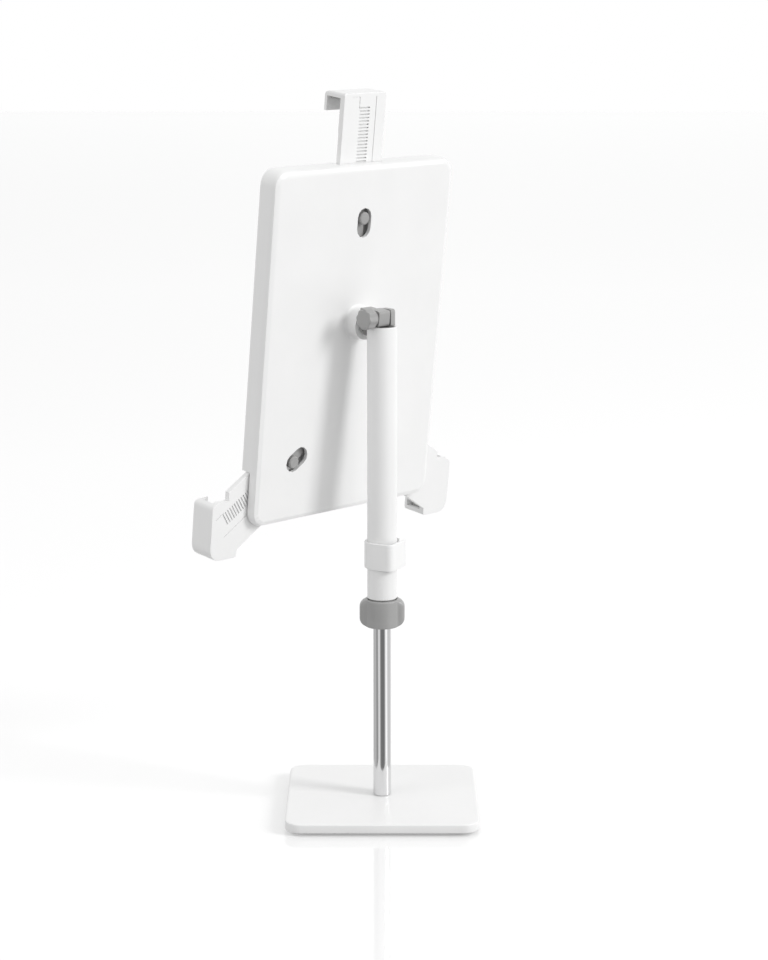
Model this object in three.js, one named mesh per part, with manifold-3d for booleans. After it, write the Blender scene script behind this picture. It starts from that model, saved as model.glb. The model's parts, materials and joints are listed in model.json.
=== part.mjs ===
// Desk stand for a tablet: weighted base, polished rod, telescoping white mast, tilting and
// turning holder with three sliding arms. Millimetres, +Z up. The origin is the centre of the
// foot pad's underside, on the pole's axis.
import * as THREE from 'three';
import { mergeVertices } from 'three/addons/utils/BufferGeometryUtils.js';
import Module from 'manifold-3d';

const wasm = await Module();
wasm.setup();

// Pose at rest
const YAW = THREE.MathUtils.degToRad(44.7); // holder turned about the pole
const TILT = THREE.MathUtils.degToRad(6.3); // holder leaning back
const CLIP_YAW = THREE.MathUtils.degToRad(-72.2); // cable clip turned on the mast

// Base and rod
const BASE = { width: 106, depth: 103, low: 1.2, top: 6.4, corner: 9, edge: 0.9 };
const PAD_TOP = 1.1;
const PAD_INSET = 4;
const ROD = { r: 5, low: 6.5, top: 144.2, screwBore: 3.1, boreTop: 20.5, topBore: 2.6, topBoreLow: 133 };
const TOP_SCREW = { r: 2.45, low: 134, headR: 6, headTop: 147 };
const ROD_GUIDE = { r: 6.8, bore: 5.15, low: 134.2 };

// Mast
const TUBE = { r: 8.2, bore: 7.1, low: 120.1, top: 271.2 };
const NOSE = { r: 7.5, neck: 6.95, bore: 6.3, low: 108, shoulder: 119.9, top: 128.5 };
const COLLET = { r: 6, bore: 5.15, low: 106.5, top: 126, flangeR: 7.3, flangeTop: 107.7, slit: 1.2 };
const COLLAR = { low: 104.2, top: 119.6, hubR: 9.7, bore: 7.75, lip: 106.2 };
const WINGS = { reach: 12.5, half: 4.4, corner: 4.5 };
const CLIP = { low: 137.5, top: 152.5, far: 10.8, half: 9.8, bore: 8.35, wall: 1.4, corner: 3.2 };
const GRUB_Z = 262;

// Tilt hinge: its axis lies along X at this height
const HINGE_Z = 276.2;
const KNUCKLE = { half: 4.3, corner: 1.6, x0: -6.4, x1: 1.6, sweep: 5.6 };
const LUG = { x0: 2.55, x1: 5.6, base: 271.5 };
const CAP = { r: 6.95, low: 256, top: 271.9, seat: 270.9 };
const BOLT_R = 1.95;
const BOLT_BORE = 2.15;
const NUT = { flats: 6.7, x0: 3.5, x1: 5.5 };
const KNOB = { x0: -14.3, x1: -8.5, r: 5.45, lobe: 0.33, lobes: 8, edge: 1, hubR: 4.6, hubEnd: -6.9 };

// Turning pivot of the holder: along Y at this height below the hinge
const PIVOT_Z = -6.6;
const FLANGE = { r: 5.8, y0: 9.5, y1: 11 };
const PIVOT_BORE = 3.2;
const PIVOT_STUD = 2.9;

// Holder, seen from behind: X to the right, Y towards the tablet, Z up the plate
const SHELL = { half: 66.7, low: -114.7, top: 79.6, back: 19, rim: 30.7, wall: 2.2, corner: 8.5, edge: 3 };
const BOSS = { r: 8.5, y0: 11.3 };
const PANEL = { y0: 28.9, y1: 30.6, inset: 2.6, corner: 6 };
const GRIP = { y0: 30.9, y1: 31.5, half: 46, height: 16, levels: [46, -86] };
const SCREW_POSTS = [[-57, 70], [57, 70], [-57, -38], [57, -38], [0, -104]];
const POST_R = 3.2;

// Arms: flat bars in the holder with a hooked end
const ARM = { back: 25, front: 28.2, half: 15.6 };
const HOOK = { lipBack: 38.4, lipFront: 40.9, wall: 2.8, overlap: 8, edge: 1.1, corner: 4.5 };
const TOP_ARM = { low: 24, top: 117.2, rackTop: 109.2 };
const ARM_ANGLE = THREE.MathUtils.degToRad(33); // lower arms, below the horizontal
const LOWER = { outer: 91.2, bottom: -131.2, inner: 20.5, toe: 72, upper: -34.8, lower: -67.2 };
const LEFT_RACK_AT = -127.4;
const RACK = { pitch: 1.8, width: 7.4, slot: 0.75, depth: 1 };
const GROOVE = { at: 8.2, width: 0.5, depth: 0.4, rise: 5.8, reach: 9.7 };
const LINER = 0.8;

// Latches: capsule slots in the shell with a round button at the outer end
const SLOT = { r: 5, half: 3.1 };
const LATCH = { knobR: 3.5, knobAt: 2.4, knobTop: 18.5, y0: 22.4, y1: 23.8, half: 2.8, tail: -13 };
const TOP_LATCH_Z = 47.9;
const LEFT_LATCH = { along: -75, across: -46.2 };

const WHITE = [0xf1f1f0, 0.38, 0];
const GREY = [0x9c9b99, 0.5, 0];
const STEEL = [0xc4c6c8, 0.18, 1];
const DARK = [0x4a4b4d, 0.4, 1];
const RUBBER = [0xb9b9b7, 0.85, 0];

const stand = new THREE.Group();
const mast = new THREE.Group();
mast.rotation.z = YAW;
stand.add(mast);
const head = new THREE.Group();
head.position.z = HINGE_Z;
head.rotation.x = TILT;
mast.add(head);

// ---------- solids ----------

function signedVolume(points, index) {
  const a = new THREE.Vector3();
  const b = new THREE.Vector3();
  const c = new THREE.Vector3();
  let volume = 0;
  for (let i = 0; i < index.length; i += 3) {
    a.fromArray(points, index[i] * 3);
    b.fromArray(points, index[i + 1] * 3);
    c.fromArray(points, index[i + 2] * 3);
    volume += a.dot(b.cross(c));
  }
  return volume;
}

function solid(geometry) {
  geometry.deleteAttribute('normal');
  geometry.deleteAttribute('uv');
  const merged = mergeVertices(geometry, 1e-4);
  const points = merged.attributes.position.array;
  const index = new Uint32Array(merged.index.array);
  if (signedVolume(points, index) < 0) index.reverse();
  return new wasm.Manifold(new wasm.Mesh({ numProp: 3, vertProperties: points, triVerts: index }));
}

function addPart(name, shape, [color, roughness, metalness], parent) {
  const mesh = shape.getMesh();
  const geometry = new THREE.BufferGeometry();
  geometry.setAttribute('position', new THREE.BufferAttribute(mesh.vertProperties, 3));
  geometry.setIndex(new THREE.BufferAttribute(mesh.triVerts, 1));
  geometry.computeVertexNormals();
  const material = new THREE.MeshStandardMaterial({ color, roughness, metalness });
  const node = new THREE.Mesh(geometry, material);
  node.name = name;
  parent.add(node);
}

function block([x0, x1], [y0, y1], [z0, z1]) {
  const geometry = new THREE.BoxGeometry(x1 - x0, y1 - y0, z1 - z0);
  return solid(geometry.translate((x0 + x1) / 2, (y0 + y1) / 2, (z0 + z1) / 2));
}

// A turned part about Z; the profile is a list of [radius, height]
function turned(profile, segments = 28) {
  const points = profile.map(([r, z]) => new THREE.Vector2(r, z));
  return solid(new THREE.LatheGeometry(points, segments).rotateX(Math.PI / 2));
}

function ring(outer, inner, z0, z1, segments = 28) {
  return turned([[inner, z0], [outer, z0], [outer, z1], [inner, z1], [inner, z0]], segments);
}

function pin(r, z0, z1, segments = 20) {
  return turned([[0, z0], [r, z0], [r, z1], [0, z1]], segments);
}

// Turn a part made along Z so that it lies along X or Y
const alongX = (shape) => shape.rotate([0, 90, 0]);
const alongY = (shape) => shape.rotate([-90, 0, 0]);

function extruded(shape, z0, z1, bevel, curveSegments) {
  const geometry = new THREE.ExtrudeGeometry(shape, {
    depth: z1 - z0 - 2 * bevel,
    bevelEnabled: bevel > 0,
    bevelThickness: bevel,
    bevelSize: bevel,
    bevelOffset: -bevel,
    bevelSegments: 2,
    curveSegments,
  });
  return solid(geometry.translate(0, 0, z0 + bevel));
}

const slab = (shape, [z0, z1], bevel = 0, curveSegments = 3) => extruded(shape, z0, z1, bevel, curveSegments);

// A plate whose outline is drawn in X and Z, with its thickness along Y
function plate(shape, [y0, y1], bevel = 0, curveSegments = 3) {
  return extruded(shape, -y1, -y0, bevel, curveSegments).rotate([90, 0, 0]);
}

// An outline from corners [x, y, radius]
function outline(corners) {
  const shape = new THREE.Shape();
  corners.forEach(([x, y, r], i) => {
    const corner = new THREE.Vector2(x, y);
    const before = corners[(i + corners.length - 1) % corners.length];
    const after = corners[(i + 1) % corners.length];
    const inward = new THREE.Vector2(before[0], before[1]).sub(corner).setLength(r);
    const onward = new THREE.Vector2(after[0], after[1]).sub(corner).setLength(r);
    const start = corner.clone().add(inward);
    const end = corner.clone().add(onward);
    if (i === 0) shape.moveTo(start.x, start.y);
    else shape.lineTo(start.x, start.y);
    if (r > 0) shape.quadraticCurveTo(x, y, end.x, end.y);
  });
  shape.closePath();
  return shape;
}

function roundedRect([x0, x1], [y0, y1], r) {
  const shape = new THREE.Shape();
  shape.absarc(x1 - r, y0 + r, r, -Math.PI / 2, 0);
  shape.absarc(x1 - r, y1 - r, r, 0, Math.PI / 2);
  shape.absarc(x0 + r, y1 - r, r, Math.PI / 2, Math.PI);
  shape.absarc(x0 + r, y0 + r, r, Math.PI, Math.PI * 1.5);
  shape.closePath();
  return shape;
}

const joined = (shapes) => shapes.reduce((all, shape) => all.add(shape));
const cut = (shape, tools) => tools.reduce((left, tool) => left.subtract(tool), shape);
const hexPin = (flats, z0, z1) => pin(flats / Math.sqrt(3), z0, z1, 6);

// ---------- base, rod and their fasteners ----------

function addBase() {
  const half = [BASE.width / 2, BASE.depth / 2];
  const top = roundedRect([-half[0], half[0]], [-half[1], half[1]], BASE.corner);
  const countersink = turned([[0, 0], [6.5, 0], [6.4, BASE.low], [3.4, 4.2], [3.4, 8], [0, 8]]);
  addPart('base_plate', cut(slab(top, [BASE.low, BASE.top], BASE.edge), [countersink]), WHITE, stand);

  const pad = half.map((h) => h - PAD_INSET);
  const padShape = roundedRect([-pad[0], pad[0]], [-pad[1], pad[1]], BASE.corner - PAD_INSET / 2);
  addPart('foot_pad', slab(padShape, [0, PAD_TOP]), RUBBER, stand);

  const screw = turned([[0, 1.4], [6, 1.4], [2.9, 4.5], [2.9, 20], [0, 20]], 20);
  addPart('base_screw', cut(screw, [hexPin(4, 0, 3.6)]), DARK, stand);
}

function addRod() {
  const { r, low, top, screwBore, boreTop, topBore, topBoreLow } = ROD;
  const chamfer = 0.4;
  const rod = [
    [0, boreTop], [screwBore, boreTop], [screwBore, low], [r - chamfer, low], [r, low + chamfer],
    [r, top - chamfer], [r - chamfer, top], [topBore, top], [topBore, topBoreLow], [0, topBoreLow],
  ];
  addPart('support_rod', turned(rod), STEEL, stand);
  addPart('rod_guide_bush', ring(ROD_GUIDE.r, ROD_GUIDE.bore, ROD_GUIDE.low, top), GREY, stand);

  const seat = top + 0.2;
  const { r: stem, low: tip, headR, headTop } = TOP_SCREW;
  const profile = [
    [0, tip], [stem, tip], [stem, seat], [headR, seat],
    [headR, headTop - 0.6], [headR - 0.6, headTop], [0, headTop],
  ];
  const screw = turned(profile, 20);
  addPart('rod_top_screw', cut(screw, [hexPin(4, 145, 148)]), DARK, stand);
}

// ---------- height clamp ----------

function addCollet() {
  const { r, bore, low, top, flangeR, flangeTop, slit } = COLLET;
  const body = turned([
    [bore, low], [flangeR, low], [flangeR, flangeTop], [r, flangeTop], [r, top], [bore, top], [bore, low],
  ]);
  const gap = block([0, 9], [-slit / 2, slit / 2], [low - 1, top + 1]);
  addPart('collet', cut(body, [gap]), GREY, mast);
}

function addCollar() {
  const { low, top, hubR, bore, lip } = COLLAR;
  const { reach, half, corner } = WINGS;
  const hub = new THREE.Shape();
  hub.absarc(0, 0, hubR, 0, Math.PI * 2);
  const wings = plate(roundedRect([-reach, reach], [low, top], corner), [-half, half], 2, 4);
  const body = slab(hub, [low, top], 1.2, 14).add(wings);
  const bores = [pin(bore, lip, top + 1, 28), pin(5.5, low - 1, lip + 1)];
  addPart('height_collar', cut(body, bores), GREY, stand);
}

// ---------- mast ----------

function addTube() {
  const { r, bore, low, top } = TUBE;
  const edge = 0.3;
  const profile = [
    [bore, low], [r - edge, low], [r, low + edge], [r, top - edge], [r - edge, top], [bore, top], [bore, low],
  ];
  const grubHole = alongY(pin(1.65, 5, 9, 12)).translate([0, 0, GRUB_Z]);
  addPart('mast_tube', cut(turned(profile, 32), [grubHole]), WHITE, mast);

  const nose = [
    [NOSE.bore, NOSE.low], [NOSE.r, NOSE.low], [NOSE.r, NOSE.shoulder], [NOSE.neck, NOSE.shoulder],
    [NOSE.neck, NOSE.top], [NOSE.bore, NOSE.top], [NOSE.bore, NOSE.low],
  ];
  addPart('tube_end_bush', turned(nose), GREY, mast);
}

// The hinge's square knuckle section in Y and Z, as an extrusion along X
function knuckleBlock(x0, x1, low) {
  const { half, corner } = KNUCKLE;
  const foot = low < -half ? 0 : corner;
  const section = outline([
    [-half, low, foot], [half, low, foot], [half, half, corner], [-half, half, corner],
  ]);
  return slab(section, [x0, x1], 0, 3).rotate([90, 0, 0]).rotate([0, 0, 90]);
}

function addTubeCap() {
  const atHinge = (shape) => shape.translate([0, 0, HINGE_Z]);
  const plug = pin(CAP.r, CAP.low, CAP.top, 28);
  const lug = atHinge(knuckleBlock(LUG.x0, LUG.x1, LUG.base - HINGE_Z));
  // the knuckle turns in a shallow seat in the cap
  const freeX = [-9, LUG.x0 - 0.1];
  const swept = atHinge(alongX(pin(KNUCKLE.sweep, ...freeX)));
  const seat = block(freeX, [-9, 9], [CAP.seat, CAP.top + 1]).add(swept);
  const bore = atHinge(alongX(pin(BOLT_BORE, -9, 9)));
  const pocket = atHinge(alongX(hexPin(NUT.flats + 0.3, NUT.x0 - 0.2, 9)));
  const grubHole = alongY(pin(1.65, 2.5, 9, 12)).translate([0, 0, GRUB_Z]);
  const body = cut(plug, [seat]).add(lug);
  addPart('tube_cap', cut(body, [bore, pocket, grubHole]), GREY, mast);

  const grub = cut(alongY(pin(1.5, 3, 8, 12)), [alongY(hexPin(1.5, 6.5, 9))]);
  addPart('cap_grub_screw', grub.translate([0, 0, GRUB_Z]), DARK, mast);

  const nut = cut(alongX(hexPin(NUT.flats, NUT.x0, NUT.x1)), [alongX(pin(BOLT_R + 0.08, 0, 9))]);
  addPart('tilt_nut', nut.translate([0, 0, HINGE_Z]), DARK, mast);
}

// Round behind the tube and square in front of it, with a channel for a cable in the square part
function addClip() {
  const { low, top, far, half, bore, wall, corner } = CLIP;
  const around = new THREE.Shape();
  around.absarc(0, 0, half, Math.PI / 2, Math.PI * 1.5);
  around.absarc(far - corner, corner - half, corner, -Math.PI / 2, 0);
  around.absarc(far - corner, half - corner, corner, 0, Math.PI / 2);
  around.closePath();
  const body = slab(around, [low, top], 0.6, 8);
  const tubeBore = pin(bore, low - 1, top + 1, 32);
  const inside = roundedRect([-1, far - wall], [wall - half, half - wall], corner - wall);
  const pocket = slab(inside, [low - 1, top + 1]);
  const entry = block([far - wall - 3.4, far - wall], [0, half + 1], [low - 1, top + 1]);
  const clip = cut(body, [tubeBore, pocket, entry]);
  const turn = new THREE.Group();
  turn.rotation.z = CLIP_YAW;
  mast.add(turn);
  addPart('cable_clip', clip, WHITE, turn);
}

// ---------- tilt hinge ----------

function lobedShape() {
  const shape = new THREE.Shape();
  const steps = KNOB.lobes * 6;
  for (let i = 0; i < steps; i += 1) {
    const angle = (i / steps) * Math.PI * 2;
    const r = KNOB.r + KNOB.lobe * Math.cos(KNOB.lobes * angle);
    if (i === 0) shape.moveTo(r, 0);
    else shape.lineTo(r * Math.cos(angle), r * Math.sin(angle));
  }
  shape.closePath();
  return shape;
}

function addKnob() {
  const { x0, x1, edge, hubR, hubEnd } = KNOB;
  const hubLow = x0 + 2;
  const profile = [[0, hubLow], [hubR, hubLow], [hubR, hubEnd - 1], [hubR - 0.8, hubEnd], [0, hubEnd]];
  const hub = turned(profile, 24);
  const body = slab(lobedShape(), [x0, x1], edge).add(hub);
  const socket = pin(BOLT_R + 0.3, x0 + 1, hubEnd + 1);
  addPart('tilt_knob', alongX(cut(body, [socket])), GREY, head);
  addPart('tilt_bolt', alongX(pin(BOLT_R, -13, NUT.x1 - 0.1)), STEEL, head);
}

function addTiltBracket() {
  const knuckle = knuckleBlock(KNUCKLE.x0, KNUCKLE.x1, -KNUCKLE.half);
  const web = block([KNUCKLE.x0, KNUCKLE.x1], [0, FLANGE.y1 - 0.4], [-3.6, 3.4]);
  const flange = alongY(pin(FLANGE.r, FLANGE.y0, FLANGE.y1, 28)).translate([0, 0, PIVOT_Z]);
  const studHole = alongY(pin(PIVOT_STUD + 0.2, 10, 12)).translate([0, 0, PIVOT_Z]);
  const bore = alongX(pin(BOLT_BORE, -9, 9));
  addPart('tilt_bracket', cut(joined([knuckle, web, flange]), [bore, studHole]), GREY, head);
  addPart('tilt_washer', alongX(ring(3.8, BOLT_BORE, 1.9, 2.25, 20)), STEEL, head);

  const washer = alongY(ring(6.5, PIVOT_BORE, 21.5, 22.1, 20));
  addPart('pivot_washer', washer.translate([0, 0, PIVOT_Z]), STEEL, head);
  const tip = FLANGE.y0 + 0.8;
  const profile = [[0, tip], [PIVOT_STUD, tip], [PIVOT_STUD, 22.4], [5.5, 22.4], [5.5, 24.4], [0, 24.4]];
  const screw = alongY(cut(turned(profile, 20), [hexPin(4, 23, 26)]));
  addPart('pivot_screw', screw.translate([0, 0, PIVOT_Z]), DARK, head);
}

// ---------- holder ----------

// Points given along and across a lower arm. The arm's inward way climbs at ARM_ANGLE.
function lowerPoint(side, along, across) {
  const x = along * Math.cos(ARM_ANGLE) - across * Math.sin(ARM_ANGLE);
  const z = along * Math.sin(ARM_ANGLE) + across * Math.cos(ARM_ANGLE);
  return [-side * x, z];
}

// Height of a lower arm's edge line at a distance from the centre line
function edgeHeight(distance, across) {
  const along = (-distance + across * Math.sin(ARM_ANGLE)) / Math.cos(ARM_ANGLE);
  return lowerPoint(-1, along, across)[1];
}

function capsule(x, z, angle) {
  const { r, half } = SLOT;
  const shape = new THREE.Shape();
  shape.absarc(half, 0, r, -Math.PI / 2, Math.PI / 2);
  shape.absarc(-half, 0, r, Math.PI / 2, Math.PI * 1.5);
  shape.closePath();
  const degrees = THREE.MathUtils.radToDeg(angle);
  return plate(shape, [10, 24]).rotate([0, -degrees, 0]).translate([x, 0, z]);
}

// Where each latch sits, and the angle of its arm's outward way above +X
function latchPlaces() {
  const [x, z] = lowerPoint(-1, LEFT_LATCH.along, LEFT_LATCH.across);
  return {
    top: { x: 0, z: TOP_LATCH_Z, angle: Math.PI / 2 },
    left: { x, z, angle: Math.PI + ARM_ANGLE },
  };
}

function addShell() {
  const { half, low, top, back, rim, wall, corner, edge } = SHELL;
  const outer = plate(roundedRect([-half, half], [low, top], corner), [back, rim + 4], edge, 4);
  const hollow = roundedRect([wall - half, half - wall], [low + wall, top - wall], corner - wall);
  const inside = plate(hollow, [back + wall, rim + 6], 1.2);
  const trim = block([-99, 99], [rim, rim + 9], [-160, 120]);
  const atPosts = (shape) => SCREW_POSTS.map(([x, z]) => alongY(shape).translate([x, 0, z]));
  const posts = atPosts(pin(POST_R, back + 1, PANEL.y0 - 0.2, 12));
  const postBores = atPosts(pin(1.3, 22.5, 40, 8));
  const boss = alongY(pin(BOSS.r, BOSS.y0, back + 1, 28)).translate([0, 0, PIVOT_Z]);
  const pivot = alongY(pin(PIVOT_BORE, 8, 30)).translate([0, 0, PIVOT_Z]);
  const slots = Object.values(latchPlaces()).map(({ x, z, angle }) => capsule(x, z, angle));
  const mouth = ARM.back - 0.5;
  const topMouth = block([-ARM.half - 0.5, ARM.half + 0.5], [mouth, rim + 4], [60, top + 9]);
  const cornerMouths = [-1, 1].map((side) => plate(outline(sweptBar(side, 0.5)), [mouth, rim + 4]));
  const shell = joined([cut(outer, [inside, trim]), ...posts, boss]);
  const tools = [pivot, ...postBores, ...slots, topMouth, ...cornerMouths];
  addPart('back_shell', cut(shell, tools), WHITE, head);
}

// The strip that a lower arm sweeps past the shell's corner
function sweptBar(side, gap) {
  const near = 45;
  const far = 130;
  const upper = LOWER.upper + gap;
  const lower = LOWER.lower - gap;
  const points = [[near, upper], [far, upper], [far, lower], [near, lower]];
  return points.map(([x, across]) => [side * x, edgeHeight(x, across), 0]);
}

function addPanel() {
  const { half, low, top } = SHELL;
  const { y0, y1, inset, corner } = PANEL;
  const shape = roundedRect([inset - half, half - inset], [low + inset, top - inset], corner);
  const hole = alongY(pin(1.7, 20, 40, 8).add(pin(3.3, y1 - 0.8, 40, 12)));
  const holes = SCREW_POSTS.map(([x, z]) => hole.translate([x, 0, z]));
  addPart('front_panel', cut(plate(shape, [y0, y1], 0.3), holes), WHITE, head);

  SCREW_POSTS.forEach(([x, z], i) => {
    const underHead = y1 - 0.7;
    const flush = y1 - 0.1;
    const profile = [[0, 23.4], [1.1, 23.4], [1.1, underHead], [2.9, underHead], [2.9, flush], [0, flush]];
    const screw = alongY(turned(profile, 8)).translate([x, 0, z]);
    addPart(`case_screw_${i + 1}`, screw, DARK, head);
  });

  GRIP.levels.forEach((z, i) => {
    const rise = [z - GRIP.height / 2, z + GRIP.height / 2];
    const pad = roundedRect([-GRIP.half, GRIP.half], rise, 5);
    addPart(`grip_pad_${['upper', 'lower'][i]}`, plate(pad, [GRIP.y0, GRIP.y1]), RUBBER, head);
  });
}

// ---------- arms ----------

// Rack slots with a long and a short guide groove in the back face, going down from the first slot
function rackCuts(count) {
  const face = ARM.back;
  const { pitch, width, slot, depth } = RACK;
  const grooveY = [face - 1, face + GROOVE.depth];
  const around = (at) => [at - GROOVE.width / 2, at + GROOVE.width / 2];
  const cuts = [
    block(around(GROOVE.at), grooveY, [-count * pitch, GROOVE.rise]),
    block(around(-width / 2 - 0.4), grooveY, [-slot, GROOVE.rise]),
  ];
  for (let i = 0; i < count; i += 1) {
    const z = -i * pitch;
    cuts.push(block([-width / 2, width / 2], [face - 1, face + depth], [z - slot / 2, z + slot / 2]));
  }
  return joined(cuts);
}

// The hooked end's shape seen along X, with the lip's corners rounded; anything outside is cut away
function hookSide(low, top) {
  const { lipFront, corner } = HOOK;
  const side = outline([[0, low, 0], [lipFront, low, corner], [lipFront, top, corner], [0, top, 0]]);
  return slab(side, [-120, 120], 0, 4).rotate([90, 0, 0]).rotate([0, 0, 90]);
}

function addTopArm() {
  const { back, front, half } = ARM;
  const { low, top, rackTop } = TOP_ARM;
  const bar = plate(roundedRect([-half, half], [low, top], 1.4), [back, front], 0.5, 2);
  const hookShape = roundedRect([-half, half], [top - 22, top], 1.4);
  const hook = plate(hookShape, [back, HOOK.lipFront], HOOK.edge, 2);
  const ceiling = top - HOOK.wall;
  const across = [-half - 1, half + 1];
  const pocket = block(across, [front, HOOK.lipBack], [low, ceiling]);
  const window = block(across, [front, HOOK.lipFront + 1], [low, ceiling - HOOK.overlap]);
  const rack = rackCuts(28).translate([0, 0, rackTop]);
  const crossGroove = block([-GROOVE.reach, -4], [back - 1, back + GROOVE.depth], [-0.25, 0.25]);
  const cuts = [pocket, window, rack, crossGroove.translate([0, 0, rackTop + GROOVE.rise])];
  addPart('top_arm', cut(bar.add(hook).intersect(hookSide(-300, top)), cuts), WHITE, head);

  const linerShape = roundedRect([2 - half, half - 2], [ceiling - 0.3 - LINER, ceiling - 0.3], 0.3);
  addPart('top_arm_liner', plate(linerShape, [front + 0.6, HOOK.lipBack - 0.6]), RUBBER, head);
}

function lowerArmOutlines(side) {
  const { outer, bottom, inner, toe, upper, lower } = LOWER;
  const mirrored = (corners) => corners.map(([x, z, r]) => [side * x, z, r]);
  const wallX = outer - HOOK.wall;
  const wallZ = bottom + HOOK.wall;
  const edgeTo = (x, across, r = 0) => [x, edgeHeight(x, across), r];
  const linerOut = { x: wallX - 0.3, z: wallZ + 0.3 };
  const linerIn = { x: linerOut.x - LINER, z: linerOut.z + LINER };
  const sill = outer - HOOK.overlap;
  const floor = bottom + HOOK.overlap;
  const outerCorners = [edgeTo(outer, upper, 1.8), [outer, bottom, 8], [toe, bottom, 2]];
  return {
    bar: mirrored([edgeTo(inner, upper), ...outerCorners, edgeTo(toe, lower), edgeTo(inner, lower)]),
    corner: mirrored([edgeTo(toe, upper), ...outerCorners]),
    pocket: mirrored([[40, -60, 0], [wallX, -60, 0], [wallX, wallZ, 6], [40, wallZ, 0]]),
    window: mirrored([[40, -60, 0], [sill, -60, 0], [sill, floor, 4], [40, floor, 0]]),
    liner: mirrored([
      [linerOut.x, -107, 0], [linerOut.x, linerOut.z, 5.5], [toe + 3, linerOut.z, 0],
      [toe + 3, linerIn.z, 0], [linerIn.x, linerIn.z, 5], [linerIn.x, -107, 0],
    ]),
  };
}

function addLowerArm(name, side) {
  const { back, front } = ARM;
  const { lipBack, lipFront, edge } = HOOK;
  const shapes = lowerArmOutlines(side);
  const bar = plate(outline(shapes.bar), [back, front], 0.4, 6);
  const corner = plate(outline(shapes.corner), [back, lipFront], edge, 6);
  const hookTop = edgeHeight(LOWER.outer, LOWER.upper) + 2.5;
  const kept = hookSide(LOWER.bottom, hookTop).add(block([-80, 80], [0, 60], [-160, 60]));
  const body = bar.add(corner).intersect(kept);
  const cuts = [
    plate(outline(shapes.pocket), [front, lipBack], 0, 6),
    plate(outline(shapes.window), [front, lipFront + 1], 0, 6),
  ];
  // only the left arm has a rack, with its long guide groove below the slots
  if (side < 0) {
    const [x, z] = lowerPoint(side, LEFT_RACK_AT, LEFT_LATCH.across);
    const turn = 90 + THREE.MathUtils.radToDeg(ARM_ANGLE);
    cuts.push(rackCuts(24).scale([-1, 1, 1]).rotate([0, side * turn, 0]).translate([x, 0, z]));
  }
  addPart(`${name}_arm`, cut(body, cuts), WHITE, head);

  const liner = plate(outline(shapes.liner), [front + 0.6, lipBack - 0.6], 0, 4);
  addPart(`${name}_arm_liner`, liner, RUBBER, head);
}

// ---------- latches ----------

function addLatch(name, { x, z, angle }) {
  const { knobR, knobAt, knobTop, y0, y1, half, tail } = LATCH;
  const tongue = plate(roundedRect([tail, knobAt + knobR], [-half, half], 2.6), [y0, y1]);
  const rim = knobR - 0.6;
  const profile = [[0, knobTop], [rim, knobTop], [knobR, knobTop + 0.6], [knobR, y1], [0, y1]];
  const button = alongY(turned(profile, 20));
  const tooth = block([tail + 1, tail + 1.7], [y1 - 0.4, ARM.back - 0.3], [-half, half]);
  const latch = joined([tongue, button.translate([knobAt, 0, 0]), tooth]);
  const degrees = THREE.MathUtils.radToDeg(angle);
  addPart(`${name}_latch`, latch.rotate([0, -degrees, 0]).translate([x, 0, z]), GREY, head);
}

// ---------- assembly ----------

addBase();
addRod();
addCollet();
addCollar();
addTube();
addTubeCap();
addClip();
addKnob();
addTiltBracket();
addShell();
addPanel();
addTopArm();
addLowerArm('left', -1);
addLowerArm('right', 1);
for (const [name, place] of Object.entries(latchPlaces())) addLatch(name, place);

export default stand;
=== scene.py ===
import json
import math

import bmesh
import bpy
from mathutils import Matrix, Vector


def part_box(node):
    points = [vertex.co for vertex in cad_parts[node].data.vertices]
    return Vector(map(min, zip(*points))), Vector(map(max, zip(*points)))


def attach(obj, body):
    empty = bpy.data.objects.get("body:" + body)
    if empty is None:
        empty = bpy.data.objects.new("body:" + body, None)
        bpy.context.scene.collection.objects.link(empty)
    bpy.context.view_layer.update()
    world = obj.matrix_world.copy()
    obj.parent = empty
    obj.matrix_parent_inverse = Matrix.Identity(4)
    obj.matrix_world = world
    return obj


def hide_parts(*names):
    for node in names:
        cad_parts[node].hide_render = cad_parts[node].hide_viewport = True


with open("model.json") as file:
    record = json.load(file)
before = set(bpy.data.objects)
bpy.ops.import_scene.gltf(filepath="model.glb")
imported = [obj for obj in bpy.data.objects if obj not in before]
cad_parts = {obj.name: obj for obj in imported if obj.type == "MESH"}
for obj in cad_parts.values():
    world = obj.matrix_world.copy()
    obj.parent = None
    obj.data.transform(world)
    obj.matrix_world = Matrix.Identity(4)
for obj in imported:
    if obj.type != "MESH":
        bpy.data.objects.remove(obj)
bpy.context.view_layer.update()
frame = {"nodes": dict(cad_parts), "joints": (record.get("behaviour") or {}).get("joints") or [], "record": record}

MM = 0.001
JOINTS = {joint["name"]: joint for joint in frame["joints"]}
SLOT_OF = {part["node"]: part["material_slot"] for part in frame["record"]["subparts"]}


# ---------- frames ----------

def head_frame():
    """X along the tilt hinge, Y towards the tablet, Z up the plate, with its origin on the hinge."""
    tilt = JOINTS["head_tilt"]
    x = Vector(tilt["axis"]).normalized()
    y = Vector(JOINTS["holder_turn"]["axis"]).normalized()
    z = x.cross(y).normalized()
    return Matrix.Translation(tilt["pos_m"]) @ Matrix((x, y, z)).transposed().to_4x4()


HEAD = head_frame()
WORLD = Matrix.Identity(4)


def local_box(node, place):
    """Lowest and highest corner of a CAD node in a turned frame, in metres."""
    inverse = place.inverted()
    points = [inverse @ v.co for v in frame["nodes"][node].data.vertices]
    low = Vector(min(p[i] for p in points) for i in range(3))
    high = Vector(max(p[i] for p in points) for i in range(3))
    return low, high


# ---------- materials ----------

NOISE_RANGE = (0.3, 0.7)  # where a noise texture's values mostly lie
BROAD_SCALE = 38
HAZE_SCALE = 30
ROUGH_SPREAD = 0.03
BRUSHED_SPREAD = (0.03, 0.05)
MARK_DEPTH = 0.00002


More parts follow.
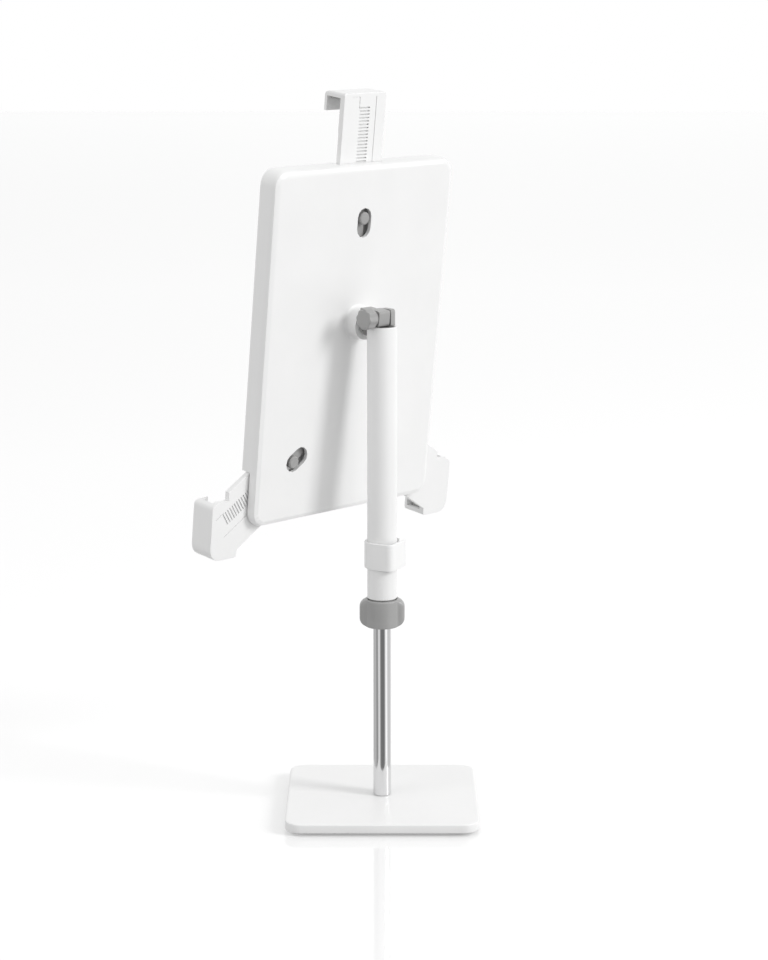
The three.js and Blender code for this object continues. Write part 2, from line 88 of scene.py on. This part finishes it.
class Nodes:
    """A small helper that adds and links shader nodes."""

    def __init__(self, name):
        self.material = bpy.data.materials.new(name)
        self.material.use_nodes = True
        self.tree = self.material.node_tree
        self.surface = self.tree.nodes["Principled BSDF"]

    def add(self, kind, **values):
        node = self.tree.nodes.new(kind)
        for key, value in values.items():
            if key in node.inputs:
                node.inputs[key].default_value = value
            else:
                setattr(node, key, value)
        return node

    def link(self, a, b):
        self.tree.links.new(a, b)

    def noise(self, scale, detail=3.0, stretch=(1, 1, 1)):
        coords = self.add("ShaderNodeTexCoord")
        mapping = self.add("ShaderNodeMapping")
        mapping.inputs["Scale"].default_value = stretch
        noise = self.add("ShaderNodeTexNoise", Scale=scale, Detail=detail)
        self.link(coords.outputs["Object"], mapping.inputs["Vector"])
        self.link(mapping.outputs["Vector"], noise.inputs["Vector"])
        return noise.outputs["Fac"]

    def ramp(self, value, stops):
        ramp = self.add("ShaderNodeValToRGB")
        elements = ramp.color_ramp.elements
        for element, (position, colour) in zip(elements, stops):
            element.position = position
            element.color = colour
        self.link(value, ramp.inputs["Fac"])
        return ramp.outputs["Color"]

    def spread(self, value, low, high):
        """The value's middle range stretched to low..high."""
        step = self.add("ShaderNodeMapRange")
        step.inputs["From Min"].default_value, step.inputs["From Max"].default_value = NOISE_RANGE
        step.inputs["To Min"].default_value = low
        step.inputs["To Max"].default_value = high
        self.link(value, step.inputs["Value"])
        return step.outputs["Result"]

    def bump(self, value, strength, distance):
        bump = self.add("ShaderNodeBump", Strength=strength, Distance=distance)
        self.link(value, bump.inputs["Height"])
        self.link(bump.outputs["Normal"], self.surface.inputs["Normal"])


def tinted(base, change):
    return tuple(max(0.0, min(1.0, channel + change)) for channel in base) + (1.0,)


def surface_material(name, base, rough, shade=0.012, grain=2600, bump=0.12, depth=0.00003, **sockets):
    """Slight shade and gloss variation over the piece, with a fine surface grain."""
    nodes = Nodes(name)
    broad = nodes.noise(BROAD_SCALE, 4.0)
    fine = nodes.noise(grain, 2.0)
    dark, light = tinted(base, -shade), tinted(base, shade * 0.6)
    colour = nodes.ramp(broad, list(zip(NOISE_RANGE, (dark, light))))
    nodes.link(colour, nodes.surface.inputs["Base Color"])
    gloss = nodes.spread(broad, rough - ROUGH_SPREAD, rough + ROUGH_SPREAD)
    nodes.link(gloss, nodes.surface.inputs["Roughness"])
    nodes.bump(fine, bump, depth)
    for key, value in sockets.items():
        nodes.surface.inputs[key.replace("_", " ")].default_value = value
    return nodes.material


def brushed_material(name, base, rough, stretch, scale=420, bump=0.05):
    """Polished or machined metal with fine marks along one direction."""
    nodes = Nodes(name)
    marks = nodes.noise(scale, 5.0, stretch)
    haze = nodes.noise(HAZE_SCALE, 3.0)
    colour = nodes.ramp(marks, [(0.25, tinted(base, -0.05)), (0.75, tinted(base, 0.03))])
    nodes.link(colour, nodes.surface.inputs["Base Color"])
    smoother, rougher = BRUSHED_SPREAD
    nodes.link(nodes.spread(haze, rough - smoother, rough + rougher), nodes.surface.inputs["Roughness"])
    nodes.surface.inputs["Metallic"].default_value = 1.0
    nodes.bump(marks, bump, MARK_DEPTH)
    return nodes.material


MATERIALS = {
    "white_shell": surface_material("satin_white_abs", (0.83, 0.83, 0.828), 0.36, Coat_Weight=0.1),
    "white_tube": surface_material("white_powder_coat", (0.82, 0.82, 0.818), 0.34, grain=1500, bump=0.2),
    "white_base": surface_material("white_plate_coat", (0.84, 0.84, 0.838), 0.38, grain=1700, bump=0.2),
    "grey_plastic": surface_material(
        "matte_grey_plastic", (0.345, 0.344, 0.341), 0.34, shade=0.025, grain=3200, bump=0.35
    ),
    "polished_steel": brushed_material("polished_stainless", (0.78, 0.78, 0.785), 0.1, (9, 9, 0.05)),
    "dark_screw": brushed_material("dark_screw_steel", (0.16, 0.16, 0.165), 0.35, (1, 1, 0.2)),
    "soft_rubber": surface_material(
        "soft_grey_rubber", (0.40, 0.40, 0.395), 0.75, shade=0.03, grain=900, bump=0.5, depth=0.0001
    ),
}


# ---------- CAD nodes carried over ----------

SMALL_EDGE = 0.12 * MM
EDGE_STEPS = 2
EDGE_ANGLE = math.radians(40)
WELD_DISTANCE = 0.01 * MM


def finish_cad_node(node):
    """Gives a CAD node softened edges, smooth round stretches and its material."""
    obj = frame["nodes"][node]
    obj.data.materials.clear()
    obj.data.materials.append(MATERIALS[SLOT_OF[node]])
    weld = obj.modifiers.new("weld", "WELD")
    weld.merge_threshold = WELD_DISTANCE
    bevel = obj.modifiers.new("edges", "BEVEL")
    bevel.width = SMALL_EDGE
    bevel.segments = EDGE_STEPS
    bevel.limit_method = "ANGLE"
    bevel.angle_limit = EDGE_ANGLE
    bevel.harden_normals = False
    for polygon in obj.data.polygons:
        polygon.use_smooth = True
    normals = obj.modifiers.new("normals", "WEIGHTED_NORMAL")
    normals.keep_sharp = True


for node_name in frame["nodes"]:
    finish_cad_node(node_name)


# ---------- pieces built here ----------

SAME_POINT = 0.0001 * MM


def add_piece(name, points, faces, place, body, slot):
    """A smooth closed mesh piece, given in a turned frame, riding on a body."""
    mesh = bpy.data.meshes.new(name)
    mesh.from_pydata([place @ Vector(point) for point in points], [], faces)
    shaped = bmesh.new()
    shaped.from_mesh(mesh)
    bmesh.ops.remove_doubles(shaped, verts=shaped.verts, dist=SAME_POINT)
    bmesh.ops.recalc_face_normals(shaped, faces=shaped.faces)
    for face in shaped.faces:
        face.smooth = True
    shaped.to_mesh(mesh)
    shaped.free()
    mesh.materials.append(MATERIALS[slot])
    piece = bpy.data.objects.new(name, mesh)
    bpy.context.scene.collection.objects.link(piece)
    normals = piece.modifiers.new("normals", "WEIGHTED_NORMAL")
    normals.keep_sharp = True
    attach(piece, body)
    return piece


def wrapped(rings, closed=False):
    """Points and faces of a surface through rings of points; closed joins the last to the first."""
    count = len(rings[0])
    points = [point for ring in rings for point in ring]
    faces = []
    for low in range(len(rings) if closed else len(rings) - 1):
        high = (low + 1) % len(rings)
        for i in range(count):
            j = (i + 1) % count
            faces.append((low * count + i, low * count + j, high * count + j, high * count + i))
    return points, faces


def angles(count):
    return [2 * math.pi * i / count for i in range(count)]


def smoothstep(value, start, end):
    t = max(0.0, min(1.0, (value - start) / (end - start)))
    return t * t * (3 - 2 * t)


def round_off(distance, radius):
    """How far a rounded edge draws back at a distance from its end."""
    if distance >= radius:
        return 0.0
    return radius - math.sqrt(radius ** 2 - (radius - distance) ** 2)


COLLAR_STEPS = [0, 0.06, 0.2, 0.45, 0.8, 1.3, 2.0, 2.8, 3.6, 4.5, 6.0]  # mm from either end
COLLAR_HUB_EDGE = 0.8 * MM
COLLAR_WING_CORNER = 4.5 * MM
COLLAR_BORE = 7.75 * MM
COLLAR_LIP = 2 * MM
COLLAR_ROD_BORE = 5.5 * MM
WING_FLAT = math.radians(15)
WING_FOOT = math.radians(31)
COLLAR_CHAMFER = 0.4 * MM
COLLAR_SEGMENTS = 144


def collar_radius(angle, gap, hub, reach):
    """Outer radius of the height collar, gap being the distance to its nearer end."""
    plain = hub - round_off(gap, COLLAR_HUB_EDGE)
    wing = max(plain, reach - round_off(gap, COLLAR_WING_CORNER))
    off_wing = math.atan2(abs(math.sin(angle)), abs(math.cos(angle)))
    return wing + (plain - wing) * smoothstep(off_wing, WING_FLAT, WING_FOOT)


def add_collar():
    """Height collar whose two wings flow into its hub."""
    low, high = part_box("height_collar")
    reach, hub = high[0], high[1]
    bottom, top = low[2], high[2]
    outer = [(bottom + step * MM, step * MM) for step in COLLAR_STEPS]
    outer += [(top - step * MM, step * MM) for step in reversed(COLLAR_STEPS)]
    turn = angles(COLLAR_SEGMENTS)
    rings = []
    for z, gap in outer:
        radii = [collar_radius(a, gap, hub, reach) for a in turn]
        rings.append([(r * math.cos(a), r * math.sin(a), z) for r, a in zip(radii, turn)])
    inner = [
        (COLLAR_BORE + COLLAR_CHAMFER, top),
        (COLLAR_BORE, top - COLLAR_CHAMFER),
        (COLLAR_BORE, bottom + COLLAR_LIP),
        (COLLAR_ROD_BORE, bottom + COLLAR_LIP),
        (COLLAR_ROD_BORE, bottom),
    ]
    for radius, z in inner:
        rings.append([(radius * math.cos(a), radius * math.sin(a), z) for a in turn])
    points, faces = wrapped(rings, closed=True)
    piece = add_piece("winged_collar", points, faces, WORLD, "collar", "grey_plastic")
    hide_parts("height_collar")


KNOB_LOBES = 8
KNOB_LOBE = 0.3 * MM
KNOB_RIDGES = 56
KNOB_RIDGE = 0.05 * MM
KNOB_EDGE = 0.7 * MM
KNOB_GRIP = 5.8 * MM
KNOB_HUB = 4.5 * MM
KNOB_HUB_EDGE = 0.2 * MM
KNOB_DOME = [(0, 0), (0.02 * MM, 0.4), (0.08 * MM, 0.75)]  # drop of the face, share of the radius
KNOB_DOME_DROP = 0.12 * MM
KNOB_EDGE_STEPS = (0, 0.04, 0.15, 0.35, 0.65, 1)
RIDGE_STEPS = 8  # points to a ridge
RIDGE_START = 0.5 * MM
RIDGE_END = 0.3 * MM
BOLT_HOLE = 2.05 * MM
BOLT_HOLE_FLOOR = 1.25 * MM


def add_knob():
    """Tilt knob with soft lobes, fine ridges around its side and a slightly domed face."""
    low, high = local_box("tilt_knob", HEAD)
    radius = (high.z - low.z) / 2 - KNOB_LOBE
    face, hub_end = low.x, high.x
    back = face + KNOB_GRIP
    turn = angles(KNOB_RIDGES * RIDGE_STEPS)

    def lobed(x, inset, ridge):
        ring = []
        for a in turn:
            r = radius - inset + KNOB_LOBE * math.cos(KNOB_LOBES * a) + ridge * math.cos(KNOB_RIDGES * a)
            ring.append((x, r * math.cos(a), r * math.sin(a)))
        return ring

    def plain(x, r):
        return [(x, r * math.cos(a), r * math.sin(a)) for a in turn]

    rings = [plain(face + drop, radius * share) for drop, share in KNOB_DOME]
    edge = [KNOB_EDGE * share for share in KNOB_EDGE_STEPS]
    rings += [lobed(face + KNOB_DOME_DROP + gap, round_off(gap, KNOB_EDGE), 0) for gap in edge]
    for x in (face + KNOB_EDGE + RIDGE_START, back - KNOB_EDGE - RIDGE_END):
        rings.append(lobed(x, 0, KNOB_RIDGE))
    rings += [lobed(back - gap, round_off(gap, KNOB_EDGE), 0) for gap in reversed(edge)]
    hole_floor = face + BOLT_HOLE_FLOOR
    rings += [
        plain(back, KNOB_HUB),
        plain(hub_end - KNOB_HUB_EDGE, KNOB_HUB),
        plain(hub_end, KNOB_HUB - KNOB_HUB_EDGE),
        plain(hub_end, BOLT_HOLE),
        plain(hole_floor, BOLT_HOLE),
        plain(hole_floor, 0),
    ]
    points, faces = wrapped(rings)
    piece = add_piece("ridged_knob", points, faces, HEAD, "knob", "grey_plastic")
    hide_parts("tilt_knob")


BOSS_RADIUS = 8.5 * MM
FLARE = 1.3 * MM
FLARE_STEPS = 8
FLARE_SEGMENTS = 96
FLARE_SUNK = 0.15 * MM  # how far the piece reaches into the boss and the shell
SHELL_BACK = 19 * MM
PIVOT_Z = -6.6 * MM


def add_boss_flare():
    """Concave sweep where the pivot boss grows out of the holder's back."""
    outer, start = BOSS_RADIUS + FLARE, SHELL_BACK - FLARE
    profile = []
    for step in range(FLARE_STEPS + 1):
        a = math.pi - step / FLARE_STEPS * math.pi / 2
        profile.append((outer + FLARE * math.cos(a), start + FLARE * math.sin(a)))
    inner, end = BOSS_RADIUS - FLARE_SUNK, SHELL_BACK + FLARE_SUNK
    profile += [(outer, end), (inner, end), (inner, start)]
    turn = angles(FLARE_SEGMENTS)
    rings = [[(r * math.cos(a), y, PIVOT_Z + r * math.sin(a)) for a in turn] for r, y in profile]
    points, faces = wrapped(rings, closed=True)
    add_piece("boss_flare", points, faces, HEAD, "holder", "white_shell")


RIB_PITCH = 3 * MM
RIB_STEPS = 8
RIB_DEPTH = 0.28 * MM
RIB_MARGIN = (2 * MM, 3.2 * MM)  # plain stretch at either end of a pad
PAD_CORNER = 4 * MM
PAD_EDGE = 0.25 * MM


def pad_height(x, half, thickness):
    """Thickness of a ribbed pad at a place along it."""
    margin = smoothstep(half - abs(x), *RIB_MARGIN)
    wave = 0.5 - 0.5 * math.cos(2 * math.pi * x / RIB_PITCH)
    return thickness - RIB_DEPTH * margin * wave ** 2


def add_grip_pad(node):
    """Soft pad with ribs across it and rounded corners."""
    low, high = local_box(node, HEAD)
    half, rise = (high.x - low.x) / 2, (high.z - low.z) / 2
    middle = (high.z + low.z) / 2
    count = round(2 * half / RIB_PITCH) * RIB_STEPS
    rings = []
    for i in range(count + 1):
        x = -half + 2 * half * i / count
        up = rise - round_off(half - abs(x), PAD_CORNER)
        front = low.y + pad_height(x, half, high.y - low.y)
        bottom, top = middle - up, middle + up
        rings.append([
            (x, low.y, bottom),
            (x, front - PAD_EDGE, bottom),
            (x, front, bottom + PAD_EDGE),
            (x, front, top - PAD_EDGE),
            (x, front - PAD_EDGE, top),
            (x, low.y, top),
        ])
    points, faces = wrapped(rings)
    size = len(rings[0])
    faces += [tuple(range(size)), tuple(range(len(points) - size, len(points)))]
    piece = add_piece(node + "_ribbed", points, faces, HEAD, "holder", "soft_rubber")
    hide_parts(node)


add_collar()
add_knob()
add_boss_flare()
add_grip_pad("grip_pad_upper")
add_grip_pad("grip_pad_lower")


# ---------- stage: floor, lights, camera ----------

FOCAL_MM = 94.26
CAMERA_AT = (0.00103, -1.34346, 0.47267)
CAMERA_PITCH = math.radians(90 - 12.03)
SENSOR_MM = 36
CLIP_NEAR, CLIP_FAR = 0.01, 50

FLOOR_SIZE = 12
FLOOR_Z = -0.0004
FLOOR_WHITE = 0.9
FLOOR_IOR = 2.5
FLOOR_GLOW = 0.06
FLOOR_ROUGH = (0.03, 0.06)
BACKDROP_RADIUS = 9

LIT_POINT = (0, 0, 0.22)
KEY_PLACE = (2.45, -0.9, 1.5)
KEY_SIZE = (0.75, 1.1)
KEY_POWER = 40
FILL_PLACE = (-2.2, -1.4, 0.9)
FILL_SIZE = (1.6, 1.6)
FILL_POWER = 13


def add_camera():
    """The photograph's viewing angle."""
    data = bpy.data.cameras.new("camera")
    data.lens = FOCAL_MM
    data.sensor_fit = "VERTICAL"
    data.sensor_height = SENSOR_MM
    data.dof.use_dof = False
    data.clip_start = CLIP_NEAR
    data.clip_end = CLIP_FAR
    camera = bpy.data.objects.new("camera", data)
    camera.location = CAMERA_AT
    camera.rotation_euler = (CAMERA_PITCH, 0, 0)
    bpy.context.scene.collection.objects.link(camera)
    bpy.context.scene.camera = camera


def add_floor():
    """A pale, slightly glossy floor, left out of reflections and bounced light."""
    bpy.ops.mesh.primitive_plane_add(size=FLOOR_SIZE, location=(0, 0, FLOOR_Z))
    floor = bpy.context.object
    floor.name = "floor"
    nodes = Nodes("pale_floor")
    nodes.surface.inputs["Base Color"].default_value = (FLOOR_WHITE, FLOOR_WHITE, FLOOR_WHITE, 1)
    nodes.surface.inputs["IOR"].default_value = FLOOR_IOR
    nodes.surface.inputs["Emission Color"].default_value = (1, 1, 1, 1)
    nodes.surface.inputs["Emission Strength"].default_value = FLOOR_GLOW
    haze = nodes.noise(3, 2.0)
    nodes.link(nodes.spread(haze, *FLOOR_ROUGH), nodes.surface.inputs["Roughness"])
    floor.data.materials.append(nodes.material)
    floor.visible_glossy = False
    floor.visible_diffuse = False


def add_backdrop():
    """A plain white surround that only the camera sees."""
    bpy.ops.mesh.primitive_uv_sphere_add(radius=BACKDROP_RADIUS, location=(0, 0, 0))
    backdrop = bpy.context.object
    backdrop.name = "backdrop"
    nodes = Nodes("white_backdrop")
    nodes.surface.inputs["Base Color"].default_value = (0, 0, 0, 1)
    nodes.surface.inputs["Specular IOR Level"].default_value = 0
    nodes.surface.inputs["Emission Color"].default_value = (1, 1, 1, 1)
    nodes.surface.inputs["Emission Strength"].default_value = 1
    backdrop.data.materials.append(nodes.material)
    backdrop.visible_glossy = False
    backdrop.visible_diffuse = False
    backdrop.visible_transmission = False
    backdrop.visible_shadow = False


def add_area(name, place, size, power):
    """A rectangular light turned towards the object."""
    data = bpy.data.lights.new(name, "AREA")
    data.shape = "RECTANGLE"
    data.size, data.size_y = size
    data.energy = power
    light = bpy.data.objects.new(name, data)
    light.location = place
    aim = Vector(LIT_POINT) - Vector(place)
    light.rotation_euler = aim.to_track_quat("-Z", "Y").to_euler()
    bpy.context.scene.collection.objects.link(light)
    return light


# Studio walls: degrees to the right of the direction behind the camera, and how bright the wall is
# there. The lower walls, which the upright rod mirrors, have dark stretches; the upper walls are softer.
WALLS = [
    (-180, 1.0), (-160, 0.95), (-122, 0.5), (-100, 0.6), (-84, 0.5), (-67, 0.26),
    (-52, 0.6), (-38, 1.0), (-24, 0.45), (-12, 0.2), (24, 0.2), (36, 0.5),
    (49, 1.3), (62, 1.2), (76, 0.75), (112, 0.7), (145, 1.0), (180, 1.0),
]
UPPER_WALLS = [
    (-180, 1.0), (-160, 0.95), (-122, 0.5), (-100, 0.5), (-67, 0.3), (-45, 0.6), (-20, 0.8), (24, 0.8),
    (49, 1.1), (76, 0.8), (112, 0.75), (145, 1.0), (180, 1.0),
]
# The joint and the rise are heights on a unit sphere
WALL_JOINT = (-0.09, -0.01)
CEILING = 0.84
CEILING_RISE = (0.26, 0.46)


def add_world():
    """Studio walls with light and dark stretches under a pale ceiling."""
    world = bpy.data.worlds.new("studio")
    world.use_nodes = True
    tree = world.node_tree
    brightest = max(level for _, level in WALLS)

    def grey(level):
        share = level / brightest
        return share, share, share, 1

    def node(kind, **values):
        made = tree.nodes.new(kind)
        for key, value in values.items():
            setattr(made, key, value)
        return made

    coords = node("ShaderNodeTexCoord")
    axes = node("ShaderNodeSeparateXYZ")
    back = node("ShaderNodeMath", operation="MULTIPLY")
    back.inputs[1].default_value = -1
    angle = node("ShaderNodeMath", operation="ARCTAN2")
    turn = node("ShaderNodeMapRange")
    turn.inputs["From Min"].default_value = -math.pi
    turn.inputs["From Max"].default_value = math.pi

    def rise(limits):
        made = node("ShaderNodeMapRange", interpolation_type="SMOOTHSTEP")
        made.inputs["From Min"].default_value, made.inputs["From Max"].default_value = limits
        tree.links.new(axes.outputs["Z"], made.inputs["Value"])
        return made.outputs["Result"]

    def walls(levels):
        ramp = node("ShaderNodeValToRGB")
        elements = ramp.color_ramp.elements
        while len(elements) < len(levels):
            elements.new(0.5)
        for element, (degrees, level) in zip(elements, levels):
            element.position = (degrees + 180) / 360
            element.color = grey(level)
        tree.links.new(turn.outputs["Result"], ramp.inputs["Fac"])
        return ramp.outputs["Color"]

    both = node("ShaderNodeMix", data_type="RGBA")
    ceiling = node("ShaderNodeMix", data_type="RGBA")
    ceiling.inputs["B"].default_value = grey(CEILING)
    background = tree.nodes["Background"]
    background.inputs["Strength"].default_value = brightest
    for source, target in (
        (coords.outputs["Generated"], axes.inputs["Vector"]),
        (axes.outputs["Y"], back.inputs[0]),
        (axes.outputs["X"], angle.inputs[0]),
        (back.outputs["Value"], angle.inputs[1]),
        (angle.outputs["Value"], turn.inputs["Value"]),
        (rise(WALL_JOINT), both.inputs["Factor"]),
        (walls(WALLS), both.inputs["A"]),
        (walls(UPPER_WALLS), both.inputs["B"]),
        (rise(CEILING_RISE), ceiling.inputs["Factor"]),
        (both.outputs["Result"], ceiling.inputs["A"]),
        (ceiling.outputs["Result"], background.inputs["Color"]),
    ):
        tree.links.new(source, target)
    bpy.context.scene.world = world


def add_lights():
    """A soft key on the right, a little towards the camera, and a weak fill on the left."""
    add_area("key", KEY_PLACE, KEY_SIZE, KEY_POWER)
    add_area("fill", FILL_PLACE, FILL_SIZE, FILL_POWER).visible_glossy = False


bpy.context.scene.view_settings.view_transform = "Standard"
add_camera()
add_floor()
add_backdrop()
add_world()
add_lights()
